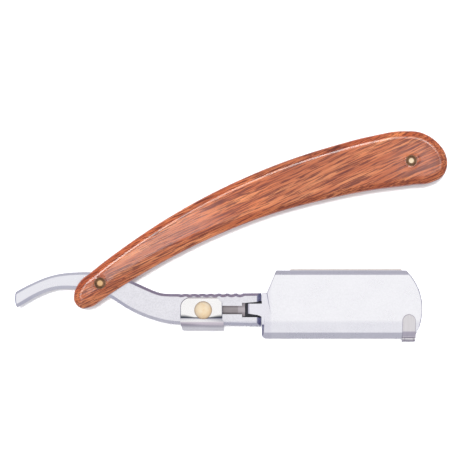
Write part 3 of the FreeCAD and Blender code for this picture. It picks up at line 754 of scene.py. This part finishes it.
# ---------------------------------------------------------------- CAD nodes kept, with soft edges

def soften(node, width, segments=2, angle=25):
    """Rounds a CAD node's sharp edges by a small amount, without moving its faces."""
    piece = NODES[node]
    weld = piece.modifiers.new("weld", "WELD")
    weld.merge_threshold = 0.002 * MM
    flats = piece.modifiers.new("flats", "DECIMATE")
    flats.decimate_type = "DISSOLVE"
    flats.angle_limit = math.radians(0.5)
    bevel = piece.modifiers.new("soft_edges", "BEVEL")
    bevel.width = width
    bevel.segments = segments
    bevel.limit_method = "ANGLE"
    bevel.angle_limit = math.radians(angle)
    bevel.harden_normals = True
    bevel.use_clamp_overlap = True


def paint(piece, material):
    piece.data.materials.clear()
    piece.data.materials.append(material)


# ---------------------------------------------------------------- stage

FLOOR_SIZE = 1.6
FLOOR_GAP = 0.02 * MM


def floor(material):
    """A plain pale sheet, well past the view, with a lamp of its own."""
    mesh = bmesh.new()
    bmesh.ops.create_grid(mesh, x_segments=8, y_segments=8, size=FLOOR_SIZE / 2)
    piece = finished_object("floor", mesh)
    piece.location.z = CAD_BOX[0].z - FLOOR_GAP
    paint(piece, material)
    piece.visible_glossy = False
    piece.visible_diffuse = False
    sun("floor_light", (-0.055, 0.12, 1.0), 1.0, 8.0, receiver_group("lit_floor", [piece]))


def lamp(name, place, aim, size, radiance, only=None, shape="RECTANGLE"):
    """A soft box of a given size and brightness; only= names the pieces that it lights."""
    light = bpy.data.lights.new(name, "AREA")
    light.shape = shape
    light.size, light.size_y = size
    light.energy = radiance * math.pi * size[0] * size[1]
    lamp_object = bpy.data.objects.new(name, light)
    bpy.context.scene.collection.objects.link(lamp_object)
    lamp_object.location = place
    lamp_object.rotation_euler = (Vector(aim) - Vector(place)).to_track_quat("-Z", "Y").to_euler()
    if only:
        lamp_object.light_linking.receiver_collection = only
    return lamp_object


def receiver_group(name, pieces):
    group = bpy.data.collections.new(name)
    for piece in pieces:
        group.objects.link(piece)
    return group


def sun(name, direction, brightness, width, receivers):
    """A distant lamp that adds the given brightness to a white surface square to it."""
    light = bpy.data.lights.new(name, "SUN")
    light.energy = brightness * math.pi
    light.angle = math.radians(width)
    lamp_object = bpy.data.objects.new(name, light)
    bpy.context.scene.collection.objects.link(lamp_object)
    lamp_object.rotation_euler = Vector(direction).to_track_quat("Z", "Y").to_euler()
    lamp_object.light_linking.receiver_collection = receivers
    return lamp_object


STRIP_DISTANCE = 0.7
STRIP_SIZE = (0.42, 0.15)
EDGE_STRIPS = [(-125, 3.0), (-78, 6.0), (-26, 7.8), (24, 6.0), (70, 4.0)]    # azimuth, radiance
FACE_BOX_HEIGHT = 0.8
FACE_BOXES = [                   # name, the spot they mirror at in mm from the pivot, size, radiance
    ("haze_near", (17, 8, 5.5), (0.12, 0.19), 3.0),
    ("haze_far", (109, 38, 5.5), (0.05, 0.07), 2.2),
]


def handle_lights(wood_pieces):
    """A soft side light, narrow strips that draw the handle's eased edge, and two boxes over its face."""
    receivers = receiver_group("lit_wood", wood_pieces)
    side = sun("side_fill", (-0.32, 0.80, 0.50), 0.30, 40, receivers)
    side.visible_glossy = False
    middle = (PIVOT + END_PIN) / 2
    for number, (azimuth, radiance) in enumerate(EDGE_STRIPS):
        turn = math.radians(azimuth)
        tilt = 2 * FACET_SLOPE
        direction = Vector((math.sin(turn) * math.sin(tilt), math.cos(turn) * math.sin(tilt), math.cos(tilt)))
        place = middle + STRIP_DISTANCE * direction
        strip = lamp(f"edge_strip_{number}", place, middle, STRIP_SIZE, radiance, receivers)
        strip.visible_diffuse = False
    for name, centre, size, radiance in FACE_BOXES:
        place = mirror_place(PIVOT + Vector(centre) * MM)
        box = lamp(name, place, place - Vector((0, 0, 1)), size, radiance, receivers, "ELLIPSE")
        box.rotation_euler.z = HANDLE_ANGLE
        box.visible_diffuse = False


def mirror_place(point):
    """Where a lamp hangs for the camera to see it mirrored at a point of a level face."""
    camera_height = VIEW_CENTRE.z + VIEW_WIDTH * LENS / SENSOR_WIDTH - point.z
    away = (point - VIEW_CENTRE) * (FACE_BOX_HEIGHT / camera_height)
    return Vector((point.x + away.x, point.y + away.y, FACE_BOX_HEIGHT))


KEY_PLACE = (-0.20, 0.50, 0.60)
KEY_SIZE = (0.34, 0.34)
KEY_RADIANCE = 1.6
SKY = [                          # brightness by the sine of the elevation
    (0.0, (0.60, 0.60, 0.66)), (0.17, (0.58, 0.58, 0.64)), (0.34, (0.50, 0.50, 0.56)),
    (0.50, (0.47, 0.47, 0.53)), (0.70, (0.57, 0.57, 0.62)), (0.82, (0.86, 0.86, 0.89)),
    (0.92, (1.0, 1.0, 1.0)),
]


def surroundings():
    """A pale studio: bright overhead and greyer towards the horizon."""
    world = bpy.data.worlds.new("studio")
    bpy.context.scene.world = world
    world.use_nodes = True
    tree = world.node_tree
    back = tree.nodes["Background"]
    place = tree.nodes.new("ShaderNodeTexCoord")
    split = tree.nodes.new("ShaderNodeSeparateXYZ")
    ramp = tree.nodes.new("ShaderNodeValToRGB")
    tree.links.new(place.outputs["Generated"], split.inputs[0])
    tree.links.new(split.outputs["Z"], ramp.inputs["Fac"])
    tree.links.new(ramp.outputs["Color"], back.inputs["Color"])
    stops = ramp.color_ramp.elements
    while len(stops) < len(SKY):
        stops.new(0.5)
    for stop, (place_on_ramp, colour) in zip(stops, SKY):
        stop.position = place_on_ramp
        stop.color = (*colour, 1)


VIEW_WIDTH = 153.33 * MM
VIEW_CENTRE = PIVOT + Vector((43.17, 17.67, 3.0)) * MM
LENS = 135.0
SENSOR_WIDTH = 36.0


def camera():
    """Straight above the razor, far off and with a long lens."""
    data = bpy.data.cameras.new("camera")
    data.lens = LENS
    data.sensor_width = SENSOR_WIDTH
    piece = bpy.data.objects.new("camera", data)
    bpy.context.scene.collection.objects.link(piece)
    piece.location = VIEW_CENTRE + Vector((0, 0, VIEW_WIDTH * LENS / SENSOR_WIDTH))
    data.clip_start = 0.01
    bpy.context.scene.camera = piece


# ---------------------------------------------------------------- the razor

def build():
    """Carves the wooden scales, and gives every other piece its finish. Returns the wooden pieces."""
    wood = lacquered_wood()
    cast = satin_cast_steel()
    jaw = satin_jaw_steel()
    gold = polished_brass()
    dull = dull_brass()
    tarnish = tarnished_brass()
    strap = satin_strap()
    blade_steel = ground_blade()
    wooden = [NODES["end_spacer"]]
    for name, flip in (("front_scale", False), ("back_scale", True)):
        scale = wooden_scale(name + "_carved", flip)
        paint(scale, wood)
        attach(scale, "handle")
        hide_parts(name)
        wooden.append(scale)
    kept = {
        "end_spacer": wood, "pivot_pin": dull, "end_pin": gold,
        "pivot_cup_front": tarnish, "pivot_cup_back": tarnish,
        "end_cup_front": tarnish, "end_cup_back": tarnish,
        "tang_washer_front": dull, "tang_washer_back": dull,
        "arm": cast, "front_jaw": jaw, "blade": blade_steel, "blade_studs": blade_steel,
        "hinge_leaf_back": strap, "hinge_leaf_front": strap, "hinge_pin": strap,
        "lock_clip": polished_sheet(), "lock_rivet": gold, "lock_washer": dull, "lock_bar": dark_oxide(),
    }
    for node, material in kept.items():
        paint(NODES[node], material)
    soften("lock_clip", 0.06 * MM)
    soften("hinge_leaf_front", 0.05 * MM)
    soften("hinge_leaf_back", 0.05 * MM)
    soften("lock_rivet", 0.22 * MM, segments=3)
    soften("end_spacer", 0.2 * MM)
    return wooden


camera()
surroundings()
floor(floor_paint())
lamp("key", KEY_PLACE, (0, 0, 0), KEY_SIZE, KEY_RADIANCE).visible_glossy = False
handle_lights(build())

bpy.context.scene.view_settings.view_transform = "Standard"
